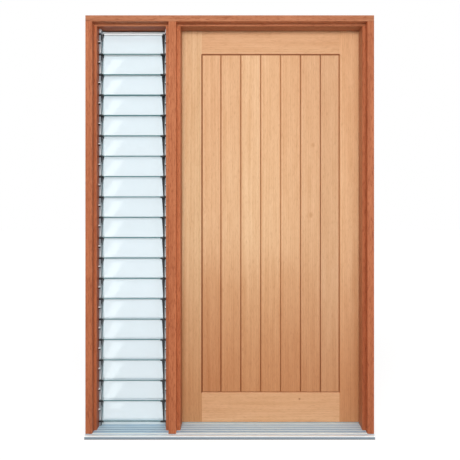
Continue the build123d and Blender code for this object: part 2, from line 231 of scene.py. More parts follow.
# %% [markdown]
# Timber shows five things at once: growth rings cut lengthways, broad streaks where the tree grew faster or
# slower, a soft mottle, fine fibres and short dark pores. All of them run along the member, so each one is
# a pattern in Object coordinates that is turned to the grain and stretched along it. The rings are circles
# round a pith that lies beside the member, bent a little by noise, and every member gets a pith and a
# stretch of the tree of its own.

# %% Grain
RING_TURN = math.tau / 20.0
STREAK_SCALE = 48.0
MOTTLE_SCALE = 42.0
FIBRE_SCALE = 520.0
PORE_SCALE = 300.0
GRAIN_DRIFT = 0.016
STREAK_WEIGHT = 0.65
MOTTLE_WEIGHT = 0.55
FIBRE_WEIGHT = 0.45
sawmill = random.Random(11)


def stretched(tree, place, share):
    """A pattern's place with its length along the grain shrunk, so that the pattern comes out long."""
    return add_node(tree, "ShaderNodeMapping", {"Vector": place, "Scale": (1, 1, share)}).outputs[0]


def noise(tree, place, scale, detail, roughness=0.5):
    """A noise pattern's sockets: its grey value and its colour."""
    values = {"Vector": place, "Scale": scale, "Detail": detail, "Roughness": roughness}
    return add_node(tree, "ShaderNodeTexNoise", values).outputs


def grain_place(tree, node, along):
    """Object coordinates turned so that the grain runs along Z, with the tree's pith on the Z axis."""
    low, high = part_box(node)
    middle = (low + high) / 2
    pith_across = sawmill.uniform(0.05, 0.16)
    pith_behind = sawmill.uniform(0.10, 0.24)
    length_of_tree = sawmill.uniform(0, 40)
    across = middle.x if along == "Z" else middle.z
    values = {
        "Vector": object_place(tree),
        "Location": (pith_across - across, pith_behind - middle.y, length_of_tree),
        "Rotation": (0, 0 if along == "Z" else math.radians(90), 0),
    }
    return add_node(tree, "ShaderNodeMapping", values).outputs[0]


def grain(tree, node, along, ring_gap):
    """Rings, streaks, mottle, fibres and pores of one member, each from 0 to 1."""
    place = grain_place(tree, node, along)
    drift = noise(tree, stretched(tree, place, 0.22), 2.4, 2.0)["Color"]
    bend = vector_sum(tree, "MULTIPLY", drift, (GRAIN_DRIFT, GRAIN_DRIFT, 0))
    bent = vector_sum(tree, "ADD", place, bend)
    wave = {"Vector": bent, "Scale": RING_TURN / ring_gap, "Distortion": 1.2, "Detail": 1.0}
    rings = add_node(
        tree, "ShaderNodeTexWave", wave, wave_type="RINGS", rings_direction="Z", wave_profile="SAW",
    ).outputs["Fac"]
    streaks = noise(tree, stretched(tree, bent, 0.03), STREAK_SCALE, 3.0, 0.55)["Fac"]
    mottle = noise(tree, stretched(tree, bent, 0.14), MOTTLE_SCALE, 4.0, 0.6)["Fac"]
    fibres = noise(tree, stretched(tree, bent, 0.03), FIBRE_SCALE, 3.0, 0.65)["Fac"]
    pores = spread(tree, noise(tree, stretched(tree, bent, 0.13), PORE_SCALE, 2.0)["Fac"], 0.52, 0.70, 0, 1)
    return rings, streaks, mottle, fibres, pores


print("rings turn once in", round(RING_TURN, 3), "units of the wave pattern")

# %% [markdown]
# Some marks on timber have a place of their own: a knot is a small oval in one board, the coat has gathered
# in the vees between the boards, and painted shade sits in the frame's corners. A mask for each could be
# painted, but a painted mask needs an image. Here each mask is worked out from where a point lies on the
# member, as a share from 0 to 1.

# %% Where the marks are
VEE_DEPTH = 0.0035


def knot_share(tree, place, centre, half_width, half_height):
    """1 in the middle of a knot and 0 outside it."""
    out = vector_sum(tree, "SUBTRACT", place, centre)
    flat = vector_sum(tree, "MULTIPLY", out, (1 / half_width, 0, 1 / half_height))
    return spread(tree, length_of(tree, flat), 0.25, 1.0, 1.0, 0.0, "SMOOTHSTEP")


def joint_share(tree, node):
    """1 in the vees along a board's edges and 0 on its broad faces."""
    low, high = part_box(node)
    half = (high.y - low.y) / 2
    inward = add_node(tree, "ShaderNodeSeparateXYZ", {0: object_place(tree)}).outputs["Y"]
    from_middle = work_out(tree, "ABSOLUTE", work_out(tree, "SUBTRACT", inward, (low.y + high.y) / 2))
    return spread(tree, from_middle, half - VEE_DEPTH, half - 0.0002, 1, 0)


def band_share(tree, place, low, high):
    """1 inside the box between two corners and 0 outside it."""
    middle = (low + high) / 2
    out = vector_sum(tree, "ABSOLUTE", vector_sum(tree, "SUBTRACT", place, middle), (0, 0, 0))
    past_sides = vector_sum(tree, "SUBTRACT", out, high - middle)
    past = add_node(tree, "ShaderNodeSeparateXYZ", {0: past_sides}).outputs
    furthest = work_out(tree, "MAXIMUM", work_out(tree, "MAXIMUM", past["X"], past["Y"]), past["Z"])
    return spread(tree, furthest, -0.0006, 0.0004, 1, 0)


print("vees end", 1000 * VEE_DEPTH, "mm below a board's face")

# %% [markdown]
# A planed member has a satin coat: its colour runs from dark to pale with the grain, the pores stay dark,
# the fibres change its gloss a little, and the same pattern lifts the surface by a fraction of a
# millimetre. Light and shade are painted in bands by height, each full below one height and gone above
# another. The bands, like the stains, multiply the colour, so that the grain shows through.

# %% The timber finish
TONE_REACH = 0.30
PORE_STAIN = (0.68, 0.52, 0.44)


def timber(
    name, node, along, dark, pale, ring_gap, ring_weight, pore_weight,
    height_bands=(), knots=(), vee=None, corners=(),
):
    """Planed timber for one member, with light and shade painted by height, its knots, vees and tinted boxes.
    """
    finish, tree, shader = new_finish(name)
    rings, streaks, mottle, fibres, pores = grain(tree, node, along, ring_gap)
    tone = work_out(tree, "MULTIPLY", rings, ring_weight)
    weights = (STREAK_WEIGHT, MOTTLE_WEIGHT, FIBRE_WEIGHT)
    for pattern, weight in zip((streaks, mottle, fibres), weights):
        tone = work_out(tree, "MULTIPLY_ADD", pattern, weight, tone)
    middle = (ring_weight + sum(weights)) / 2
    share = spread(tree, tone, middle - TONE_REACH, middle + TONE_REACH, 0, 1)
    tint = blend_colours(tree, share, dark, pale)
    tint = blend_colours(tree, work_out(tree, "MULTIPLY", pores, pore_weight), tint, PORE_STAIN, "MULTIPLY")
    place = object_place(tree)
    height = add_node(tree, "ShaderNodeSeparateXYZ", {0: place}).outputs["Z"]
    # Bands of painted light and shade by height.
    for multiplier, low, high in height_bands:
        reached = spread(tree, height, low, high, 1.0, 0.0, "SMOOTHSTEP")
        tint = blend_colours(tree, reached, tint, multiplier, "MULTIPLY")
    if vee:
        tint = blend_colours(tree, joint_share(tree, node), tint, vee, "MULTIPLY")
    for multiplier, centre, half_width, half_height in knots:
        dark_oval = knot_share(tree, place, centre, half_width, half_height)
        tint = blend_colours(tree, dark_oval, tint, multiplier, "MULTIPLY")
    for multiplier, low_corner, high_corner in corners:
        inside = band_share(tree, place, Vector(low_corner), Vector(high_corner))
        tint = blend_colours(tree, inside, tint, multiplier, "MULTIPLY")
    tree.links.new(tint, shader.inputs["Base Color"])
    shader.inputs["Specular IOR Level"].default_value = 0.4
    tree.links.new(spread(tree, fibres, 0, 1, 0.60, 0.44), shader.inputs["Roughness"])
    relief = add_node(tree, "ShaderNodeBump", {"Height": tone, "Strength": 0.22, "Distance": 0.0004})
    tree.links.new(relief.outputs[0], shader.inputs["Normal"])
    return finish


def dress(node, finish):
    """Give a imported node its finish."""
    nodes[node].material_slots[0].material = finish


print("timber tones reach", TONE_REACH, "to each side of the middle")

# %% [markdown]
# The frame is red-brown hardwood with open pores. Each member is a shade of its own, as boards from one
# stack are, and painted shade darkens the uprights a little towards the ground. More painted shade lies on
# the stops, in the corners that the leaf and the louvres shut against, so the sides of the stops that face
# an opening are darker, and the one on the hinge side is painted greyer against the warm light of the leaf.

# %% Frame timber
FRAME_DARK = (0.365, 0.096, 0.034)
FRAME_PALE = (0.628, 0.223, 0.101)
FRAME_RING_GAP, FRAME_RING_WEIGHT, FRAME_PORE_WEIGHT = 0.0045, 0.35, 1.0
# Painted shade: the frame's uprights darken towards the ground.
FRAME_FOOT_SHADE = ((0.96, 0.86, 0.78), 0.3, 1.9)
frame_shades = {
    "head": (1.05, 1.23, 1.36), "left_jamb": (1.09, 1.10, 1.10),
    "mullion": (1.20, 1.28, 1.29), "right_jamb": (1.06, 1.05, 1.04),
}
STOP_FRONT, STOP_BACK, STOP_SOFFIT = -0.037, 0.026, 2.061
HEAD_FOOT = 2.0
LOUVRE_LEFT, LOUVRE_RIGHT = -0.680, -0.290
LEAF_LEFT, LEAF_RIGHT = -0.262, 0.680
JAMB_REVEAL, MULLION_REVEAL, HINGE_REVEAL = -0.665, -0.240, 0.660
GALLERY_SHADE_FRONT, GALLERY_SHADE_BACK = -0.030, -0.004
# Painted shade on the stops' corners beside the openings, painted greyer on the hinge side against the leaf's
# warm light.
stop_corner_shade = {
    "head": [
        ((0.76, 0.77, 0.77), (LEAF_LEFT, STOP_FRONT, HEAD_FOOT), (LEAF_RIGHT, STOP_BACK, STOP_SOFFIT)),
        ((0.84, 0.58, 0.42), (LOUVRE_LEFT, STOP_FRONT, HEAD_FOOT), (LOUVRE_RIGHT, STOP_BACK, STOP_SOFFIT)),
    ],
    "left_jamb": [(
        (0.74, 0.52, 0.38),
        (LOUVRE_LEFT, GALLERY_SHADE_FRONT, 0), (JAMB_REVEAL, GALLERY_SHADE_BACK, STOP_SOFFIT),
    )],
    "mullion": [((0.76, 0.84, 0.88), (LEAF_LEFT, STOP_FRONT, 0), (MULLION_REVEAL, STOP_BACK, STOP_SOFFIT))],
    "right_jamb": [((0.93, 1.20, 1.42), (HINGE_REVEAL, STOP_FRONT, 0), (LEAF_RIGHT, STOP_BACK, STOP_SOFFIT))],
}


def shaded(shade, colour):
    """A colour made lighter or darker by a shade for each of its three parts."""
    return tuple(part * value for part, value in zip(shade, colour))


for member, shade in frame_shades.items():
    level = member == "head"
    finish = timber(
        f"{member}_timber", member, "X" if level else "Z",
        shaded(shade, FRAME_DARK), shaded(shade, FRAME_PALE),
        FRAME_RING_GAP, FRAME_RING_WEIGHT, FRAME_PORE_WEIGHT,
        height_bands=() if level else [FRAME_FOOT_SHADE], corners=stop_corner_shade.get(member, ()),
    )
    dress(member, finish)
print("frame timbers", list(frame_shades))

# %% [markdown]
# The leaf is one pale softwood, but each board was cut from another place in the tree, so each is a shade
# lighter or darker than its neighbour. Painted light lifts the uprights below chest height, painted shade
# darkens them from waist height down, and a second band darkens them further below about a metre, more in
# some boards than in others, which one number for each board says. The rails get none of these bands, so
# the bottom rail stays light. A board and the rail show small knots. Where a stile or a rail meets the
# boards, the last few millimetres of its edge are dark too, and the rails' own places say where those edges
# begin and end.

# %% Leaf timber
LEAF_DARK = (0.730, 0.385, 0.190)
LEAF_PALE = (0.880, 0.530, 0.300)
LEAF_RING_GAP, LEAF_RING_WEIGHT, LEAF_PORE_WEIGHT = 0.006, 0.25, 0.32
# Painted light lifts the leaf's uprights below chest height; painted shade darkens them from waist height
# down.
PAINTED_LIGHT_BAND = ((1.03, 1.06, 1.07), 1.15, 1.75)
PAINTED_FOOT_SHADE = ((0.80, 0.625, 0.515), 0.12, 1.05)
# A second band darkens the boards further down, by a depth given for each board.
LOW_DARKENING = (0.93, 0.87, 0.82)
LOW_DARKENING_FULL, LOW_DARKENING_GONE = 0.70, 1.00
board_low_darkening = {
    "lock_stile": 0.4, "plank_1": 1.5, "plank_2": 1.1, "plank_3": 1.2, "plank_4": 1.0, "plank_5": 1.0,
    "plank_6": 0.4, "plank_7": -0.5, "hinge_stile": 0.2,
}
EDGE_WIDTH = 0.003
board_shades = {
    "lock_stile": (1.03, 1.14, 1.17), "plank_1": (1.02, 1.03, 1.03), "plank_2": (1.04, 1.07, 1.08),
    "plank_3": (1.09, 1.17, 1.21), "plank_4": (1.06, 1.10, 1.11), "plank_5": (1.03, 1.04, 1.04),
    "plank_6": (0.99, 0.99, 0.99), "plank_7": (0.96, 0.97, 0.98), "hinge_stile": (1.04, 1.05, 1.04),
    "top_rail": (1.00, 1.00, 1.00), "bottom_rail": (1.03, 1.00, 0.97),
}
DEEP_VEE = (0.70, 0.48, 0.36)
SHALLOW_VEE = (0.88, 0.74, 0.62)
shallow_boards = ("plank_4", "plank_5")
edge_stains = {
    "lock_stile": (0.50, 0.30, 0.22), "hinge_stile": (0.80, 0.64, 0.54), "top_rail": (0.56, 0.37, 0.29),
}
FAINT_KNOT = (0.88, 0.79, 0.72)
DARK_KNOT = (0.62, 0.45, 0.36)
board_knots = {
    "plank_6": [
        (FAINT_KNOT, (0.420, 0, 1.104), 0.014, 0.022), (FAINT_KNOT, (0.431, 0, 1.468), 0.012, 0.018),
    ],
    "bottom_rail": [(DARK_KNOT, (0.3605, 0, 0.147), 0.008, 0.007)],
}
panel_low = Vector((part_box("lock_stile")[1].x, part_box("lock_stile")[0].y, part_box("bottom_rail")[1].z))
panel_high = Vector((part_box("hinge_stile")[0].x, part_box("lock_stile")[1].y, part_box("top_rail")[0].z))
edge_band = Vector((EDGE_WIDTH, 0, EDGE_WIDTH))
for member, shade in board_shades.items():
    level = member.endswith("_rail")
    vee = SHALLOW_VEE if member in shallow_boards else DEEP_VEE
    edge = (edge_stains.get(member), panel_low - edge_band, panel_high + edge_band)
    low_darkening = tuple(part ** board_low_darkening.get(member, 0) for part in LOW_DARKENING)
    finish = timber(
        f"{member}_timber", member, "X" if level else "Z",
        shaded(shade, LEAF_DARK), shaded(shade, LEAF_PALE),
        LEAF_RING_GAP, LEAF_RING_WEIGHT, LEAF_PORE_WEIGHT,
        height_bands=() if level else [PAINTED_LIGHT_BAND, PAINTED_FOOT_SHADE, (low_darkening, LOW_DARKENING_FULL, LOW_DARKENING_GONE)],
        knots=board_knots.get(member, ()), vee=vee if member.startswith("plank_") else None,
        corners=[edge] if member in edge_stains else (),
    )
    dress(member, finish)
print("leaf timbers", list(board_shades))

# %% [markdown]
# The louvre galleries and blade arms are satin anodised aluminium. The die leaves fine lines along the
# whole length of an extrusion, which scatter the light across them, so a noise drawn out along the piece
# drives both the roughness and a very shallow bump. The arms get it first.


# %% Aluminium
def drawn_metal(name, base, metallic, rough_low, rough_high, line_scale, lines_along):
    """Extruded metal with die lines along one axis."""
    finish, tree, shader = new_finish(name)
    stretch = {"X": (0.004, 1, 1), "Z": (1, 1, 0.004)}[lines_along]
    place = add_node(tree, "ShaderNodeMapping", {"Vector": object_place(tree), "Scale": stretch}).outputs[0]
    lines = noise(tree, place, line_scale, 3.0, 0.6)["Fac"]
    cloud = noise(tree, object_place(tree), 6.0, 3.0)["Fac"]
    dull = tuple(0.86 * value for value in base)
    tint = blend_colours(tree, spread(tree, cloud, 0.3, 0.7, 0, 1), dull, base)
    tree.links.new(tint, shader.inputs["Base Color"])
    shader.inputs["Metallic"].default_value = metallic
    tree.links.new(spread(tree, lines, 0.25, 0.75, rough_low, rough_high), shader.inputs["Roughness"])
    relief = add_node(tree, "ShaderNodeBump", {"Height": lines, "Strength": 0.3, "Distance": 0.0002})
    tree.links.new(relief.outputs[0], shader.inputs["Normal"])
    return finish


arm_finish = drawn_metal("arm_aluminium", (0.50, 0.55, 0.58), 0.5, 0.40, 0.55, 700, "Z")
for node in ("left_blade_arms", "right_blade_arms"):
    dress(node, arm_finish)
print("aluminium on the arms")

# %% [markdown]
# The weather strips above and below the blades are brighter, and their lines run along the wall. Along the
# top of the strip under the head runs a black band of painted shade, which shows as a dark line over the
# bright metal. Metal and painted shade are one imported piece, so the finish changes from one to the other
# at one height.

# %% Weather strips
STRIP_PALE = (0.90, 0.98, 1.00)
# A black band of painted shade along the top of the head's strip.
TOP_SHADE_BLACK = (0.030, 0.020, 0.014)
TOP_SHADE_EDGE = 2.0530


def strip_metal(name):
    """The bright metal of a weather strip."""
    return drawn_metal(name, STRIP_PALE, 0.0, 0.36, 0.5, 700, "X")


def strip_with_top_shade():
    """The head's weather strip: bright metal under a black band of painted shade."""
    finish = strip_metal("head_strip_aluminium")
    tree = finish.node_tree
    shader = tree.nodes["Principled BSDF"]
    height = add_node(tree, "ShaderNodeSeparateXYZ", {0: object_place(tree)}).outputs["Z"]
    top_shade = spread(tree, height, TOP_SHADE_EDGE - 0.0003, TOP_SHADE_EDGE + 0.0003, 0, 1)
    bright = shader.inputs["Base Color"].links[0].from_socket
    tree.links.new(blend_colours(tree, top_shade, bright, TOP_SHADE_BLACK), shader.inputs["Base Color"])
    return finish


dress("louvre_sill_strip", strip_metal("weather_strip_aluminium"))
dress("louvre_head_strip", strip_with_top_shade())
print("strips done, gasket above", TOP_SHADE_EDGE, "m")

# %% [markdown]
# A gallery carries one lug for each blade. The upper half of a lug carries a painted highlight, and its
# lower half is black for painted shadow. At each blade's foot sits a black bush, painted shadow darkens the
# web below and beside it, and above it a slanted painted glint brightens the metal. All of that belongs to
# the one imported piece, so its finish finds it by place: a lug stands proud of the gallery's front, and
# everything repeats at the blades' own spacing. A turn is one such spacing, counted from midway between two
# lugs, so that a lug lies at half a turn.

# %% Galleries
GALLERY_FRONT = -0.005
LUG_ABOVE_BLADE_MIDDLE = 0.0078
# Painted highlight on each lug's upper half; the black serves the bushes and, as painted shadow, the lugs'
# lower halves and the webs.
BLACK_AND_SHADOW = (0.012, 0.013, 0.014)
LUG_HIGHLIGHT = (0.97, 1.00, 1.00)
LIGHT_MIDDLE, LIGHT_HALF = -0.497, 0.1745
# A slanted painted glint on the gallery's web and on the front beside it.
GLINT_WHITE = (0.95, 0.99, 1.00)
GLINT_END = 0.36
GLINT_START, GLINT_SLOPE = -0.001, 0.035
BUSH_LOW, BUSH_HIGH = 0.868, 0.955
# Painted shadow on the web below and beside each bush.
WEB_SHADOW_LOW, WEB_SHADOW_BACK = 0.640, 0.014
blade_nodes = sorted(node for node in nodes if node.startswith("louvre_blade_"))
blade_middles = sorted((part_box(node)[0].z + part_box(node)[1].z) / 2 for node in blade_nodes)
blade_pitch = (blade_middles[-1] - blade_middles[0]) / (len(blade_middles) - 1)


def between(tree, value, low, high):
    """1 for a value between two ends and 0 outside them, with soft ends."""
    soft = 0.05 * (high - low)
    above = spread(tree, value, low - soft, low + soft, 0, 1)
    return work_out(tree, "MULTIPLY", above, spread(tree, value, high - soft, high + soft, 1, 0))


def gallery_metal():
    """Satin aluminium: lugs with a painted highlight above and painted shadow below, black bushes, painted
    shadow on the webs and a painted glint.
    """
    finish = drawn_metal("gallery_aluminium", (0.40, 0.45, 0.49), 0.4, 0.40, 0.55, 700, "Z")
    tree = finish.node_tree
    shader = tree.nodes["Principled BSDF"]
    satin = shader.inputs["Base Color"].links[0].from_socket
    axes = add_node(tree, "ShaderNodeSeparateXYZ", {0: object_place(tree)}).outputs
    proud = spread(tree, axes["Y"], GALLERY_FRONT - 0.0012, GALLERY_FRONT - 0.0006, 1, 0)
    lowest_lug = blade_middles[0] + LUG_ABOVE_BLADE_MIDDLE
    above = work_out(tree, "SUBTRACT", axes["Z"], lowest_lug - blade_pitch / 2)
    turn = work_out(tree, "FRACT", work_out(tree, "DIVIDE", above, blade_pitch))
    lug = blend_colours(tree, spread(tree, turn, 0.497, 0.503, 0, 1), BLACK_AND_SHADOW, LUG_HIGHLIGHT)
    on_front = spread(tree, axes["Y"], GALLERY_FRONT + 0.0006, GALLERY_FRONT + 0.0012, 1, 0)
    from_middle = work_out(tree, "ABSOLUTE", work_out(tree, "SUBTRACT", axes["X"], LIGHT_MIDDLE))
    inner_half = spread(tree, from_middle, LIGHT_HALF - 0.0050, LIGHT_HALF - 0.0036, 1, 0)
    fading = work_out(tree, "MULTIPLY", inner_half, spread(tree, turn, 0.02, GLINT_END, 1, 0))
    slant = work_out(tree, "MULTIPLY_ADD", turn, GLINT_SLOPE, GLINT_START)
    before_slant = spread(tree, work_out(tree, "SUBTRACT", axes["Y"], slant), -0.0015, 0.0015, 1, 0)
    on_web = work_out(tree, "MULTIPLY", before_slant, spread(tree, turn, 0.40, 0.46, 1, 0))
    either_face = {0: on_front, 2: on_web, 3: fading}
    glint_share = add_node(tree, "ShaderNodeMix", either_face, data_type="FLOAT").outputs[0]
    tint = blend_colours(tree, glint_share, satin, GLINT_WHITE)
    bush = work_out(tree, "MULTIPLY", on_front, between(tree, turn, BUSH_LOW, BUSH_HIGH))
    tint = blend_colours(tree, bush, tint, BLACK_AND_SHADOW)
    behind = work_out(tree, "SUBTRACT", between(tree, axes["Y"], GALLERY_FRONT, WEB_SHADOW_BACK), on_front)
    web_shadow = work_out(tree, "MULTIPLY", behind, between(tree, turn, WEB_SHADOW_LOW, BUSH_HIGH))
    tint = blend_colours(tree, web_shadow, tint, BLACK_AND_SHADOW)
    tree.links.new(blend_colours(tree, proud, tint, lug), shader.inputs["Base Color"])
    return finish


gallery_finish = gallery_metal()
for node in ("left_gallery", "right_gallery"):
    dress(node, gallery_finish)
print("galleries with lugs every", round(1000 * blade_pitch, 1), "mm")

# %% [markdown]
# The sill is the same metal in its mill finish, and it is walked on. Grime settles in the grooves of its
# tread and painted shade darkens the crease in front of it. A painted highlight lies on the foremost rib and
# on the bend of the nose, and painted shade darkens the nose's front, with a darker painted shadow line
# along its foot. Each of those follows the sill's own section, so each is worked out from where a point lies
# on it.

# %% Sill
SILL_DARK = (0.60, 0.82, 1.00)
SILL_PALE = (0.84, 1.00, 1.00)
GROOVE_GRIME = (0.30, 0.46, 0.64)
# Painted shade in the crease in front of the tread.
CREASE_SHADOW = (0.46, 0.64, 0.82)
# Painted highlight on the first rib and the nose's bend; painted shade on the nose's front, and darker
# painted shadow along its foot.
RIB_AND_BEND_HIGHLIGHT = (0.94, 1.00, 1.00)
FOOT_SHADOW_LINE = (0.05, 0.06, 0.07)
NOSE_FRONT_SHADE = (0.33, 0.40, 0.47)
BACK_GREY = (0.46, 0.50, 0.53)
TREAD_FRONT, TREAD_FRONT_HEIGHT = -0.070, 0.020
TREAD_BACK, TREAD_BACK_HEIGHT = 0.025, 0.025
FIRST_RIB_BACK = -0.0640
TREAD_END = 0.040
CREASE_BACK, CREASE_FRONT = -0.0712, -0.0756
NOSE_BEND_START = -0.0805
NOSE_BEND_FOOT = 0.0126
FOOT_SHADOW_TOP = 0.0030


def step_at(tree, value, place):
    """0 below a place and 1 above it, with a soft line half a millimetre wide between."""
    return spread(tree, value, place - 0.00025, place + 0.00025, 0, 1)


def sill_metal():
    """Mill-finish aluminium with grimy grooves, painted highlights on the first rib and the nose, and painted
    shade in the crease and on the front.
    """
    finish, tree, shader = new_finish("sill_aluminium")
    place = object_place(tree)
    axes = add_node(tree, "ShaderNodeSeparateXYZ", {0: place}).outputs
    long_place = add_node(tree, "ShaderNodeMapping", {"Vector": place, "Scale": (0.02, 1, 1)}).outputs[0]
    lines = noise(tree, long_place, 420, 4.0, 0.65)["Fac"]
    crest = spread(tree, axes["Y"], TREAD_FRONT, TREAD_BACK, TREAD_FRONT_HEIGHT, TREAD_BACK_HEIGHT)
    sunk = work_out(tree, "SUBTRACT", crest, axes["Z"])
    streaky = blend_colours(tree, spread(tree, lines, 0.3, 0.7, 0, 1), SILL_DARK, SILL_PALE)
    tread = blend_colours(tree, spread(tree, sunk, 0.0002, 0.0010, 0, 1), streaky, GROOVE_GRIME)
    above_bend_foot = step_at(tree, axes["Z"], NOSE_BEND_FOOT)
    front = blend_colours(tree, step_at(tree, axes["Z"], FOOT_SHADOW_TOP), FOOT_SHADOW_LINE, NOSE_FRONT_SHADE)
    tint = blend_colours(tree, above_bend_foot, front, RIB_AND_BEND_HIGHLIGHT)
    tint = blend_colours(tree, step_at(tree, axes["Y"], CREASE_FRONT), tint, CREASE_SHADOW)
    tint = blend_colours(tree, step_at(tree, axes["Y"], CREASE_BACK), tint, RIB_AND_BEND_HIGHLIGHT)
    tint = blend_colours(tree, step_at(tree, axes["Y"], FIRST_RIB_BACK), tint, tread)
    tint = blend_colours(tree, step_at(tree, axes["Y"], TREAD_END), tint, BACK_GREY)
    tree.links.new(tint, shader.inputs["Base Color"])
    behind_bend = step_at(tree, axes["Y"], NOSE_BEND_START)
    bend = work_out(tree, "MULTIPLY", above_bend_foot, work_out(tree, "SUBTRACT", 1, behind_bend))
    tree.links.new(spread(tree, bend, 0, 1, 0.1, 0.9), shader.inputs["Metallic"])
    shader.inputs["Specular IOR Level"].default_value = 0.25
    tree.links.new(spread(tree, lines, 0.25, 0.75, 0.36, 0.56), shader.inputs["Roughness"])
    relief = add_node(tree, "ShaderNodeBump", {"Height": lines, "Strength": 0.3, "Distance": 0.0002})
    tree.links.new(relief.outputs[0], shader.inputs["Normal"])
    return finish


dress("sill", sill_metal())
print("sill grime below", TREAD_BACK_HEIGHT, "m")

# %% [markdown]
# The clips that hold the blades' ends are moulded in black plastic. The mould's spark-eroded face leaves a
# fine speckle, so one noise serves the colour, the gloss and a shallow bump. Plain black would look like a
# hole in the picture, which is why the clips are a very dark grey. The hinges are the drawn metal again, as
# brighter steel.


# %% Clips and hinges
def moulded_plastic(name, base):
    """Black moulded plastic with the fine grain of its mould."""
    finish, tree, shader = new_finish(name)
    speckle = noise(tree, object_place(tree), 1400, 2.0)["Fac"]
    tint = blend_colours(tree, speckle, base, tuple(1.6 * value for value in base))
    tree.links.new(tint, shader.inputs["Base Color"])
    tree.links.new(spread(tree, speckle, 0.3, 0.7, 0.38, 0.55), shader.inputs["Roughness"])
    relief = add_node(tree, "ShaderNodeBump", {"Height": speckle, "Strength": 0.2, "Distance": 0.0001})
    tree.links.new(relief.outputs[0], shader.inputs["Normal"])
    return finish


clip_finish = moulded_plastic("clip_plastic", (0.016, 0.017, 0.018))
for node in ("left_blade_clips", "right_blade_clips"):
    dress(node, clip_finish)
hinge_finish = drawn_metal("hinge_steel", (0.58, 0.58, 0.57), 1.0, 0.26, 0.42, 1200, "Z")
for node in ("frame_hinge_leaves", "door_hinge_leaves"):
    dress(node, hinge_finish)
print("clips and hinges done")

# %% [markdown]
# A louvre blade is float glass, see-through on its broad faces and green along its ground edges, where the
# light has come the long way through the sheet. One finish can't be both, so each packed blade is replaced
# by a blade of the same size with two: glass on the broad faces and a ground edge all round. Dust and
# weather leave a thin pale film on the faces, which catches the lamp and the head's shadow, so a share of
# the glass shades like a matt surface. Lamp light passes through to what stands behind, as it does through
# the real sheet.

# %% Glass finishes
GLASS_TINT = (0.845, 0.935, 0.980)
LAMP_TINT = (0.72, 0.77, 0.79)
GLASS_CLEAR = 0.72
EDGE_GREEN = (0.085, 0.190, 0.205)


def clear_glass():
    """Float glass that lets lamp light through."""
    finish, tree, shader = new_finish("clear_glass")
    film = noise(tree, object_place(tree), 9.0, 4.0)["Fac"]
    tint = blend_colours(tree, film, GLASS_TINT, tuple(min(1.0, 1.02 * value) for value in GLASS_TINT))
    tree.links.new(tint, shader.inputs["Base Color"])
    tree.links.new(spread(tree, film, 0.4, 0.8, 0.0, 0.03), shader.inputs["Roughness"])
    shader.inputs["IOR"].default_value = 1.5
    shader.inputs["Transmission Weight"].default_value = GLASS_CLEAR
    through = add_node(tree, "ShaderNodeBsdfTransparent", {"Color": (*LAMP_TINT, 1.0)})
    lamp_rays = add_node(tree, "ShaderNodeLightPath").outputs["Is Shadow Ray"]
    choice = {0: lamp_rays, 1: shader.outputs[0], 2: through.outputs[0]}
    either = add_node(tree, "ShaderNodeMixShader", choice)
    tree.links.new(either.outputs[0], tree.nodes["Material Output"].inputs["Surface"])
    return finish


def ground_edge():
    """The ground edge of float glass: deep green, a little rough, with small chips."""
    finish, tree, shader = new_finish("ground_glass_edge")
    chips = noise(tree, object_place(tree), 420, 3.0, 0.6)["Fac"]
    tint = blend_colours(tree, chips, EDGE_GREEN, tuple(1.5 * value for value in EDGE_GREEN))
    tree.links.new(tint, shader.inputs["Base Color"])
    tree.links.new(spread(tree, chips, 0.3, 0.7, 0.25, 0.45), shader.inputs["Roughness"])
    relief = add_node(tree, "ShaderNodeBump", {"Height": chips, "Strength": 0.3, "Distance": 0.0002})
    tree.links.new(relief.outputs[0], shader.inputs["Normal"])
    return finish


glass_finish = clear_glass()
edge_finish = ground_edge()
print("glass finishes", glass_finish.name, edge_finish.name)

# %% [markdown]
# A blade starts as a cube scaled to the sheet. Bevelling all its edges gives the pencil-round edge of
# ground glass. The green of the lower edge shows a few millimetres up the face, because one looks down into
# the sheet there, so a bisecting plane cuts a narrow strip off the face and the strip gets the edge's
# finish. A second, slanted plane cuts off the end on the mullion side, which sits in a tapered black
# channel. Both cuts are made while the slab is still square to the axes, and only then is it leaned and set
# in place.

# %% Louvre blades
BLADE_TILT = math.radians(12)
BLADE_HEIGHT = 0.112
BLADE_THICKNESS = 0.0059
BLADE_EDGE_ROUND = 0.0027
LOW_EDGE_SHOWS = 0.0052
CHANNEL_WIDTH = 0.0115
CHANNEL_SLOPE = 0.11


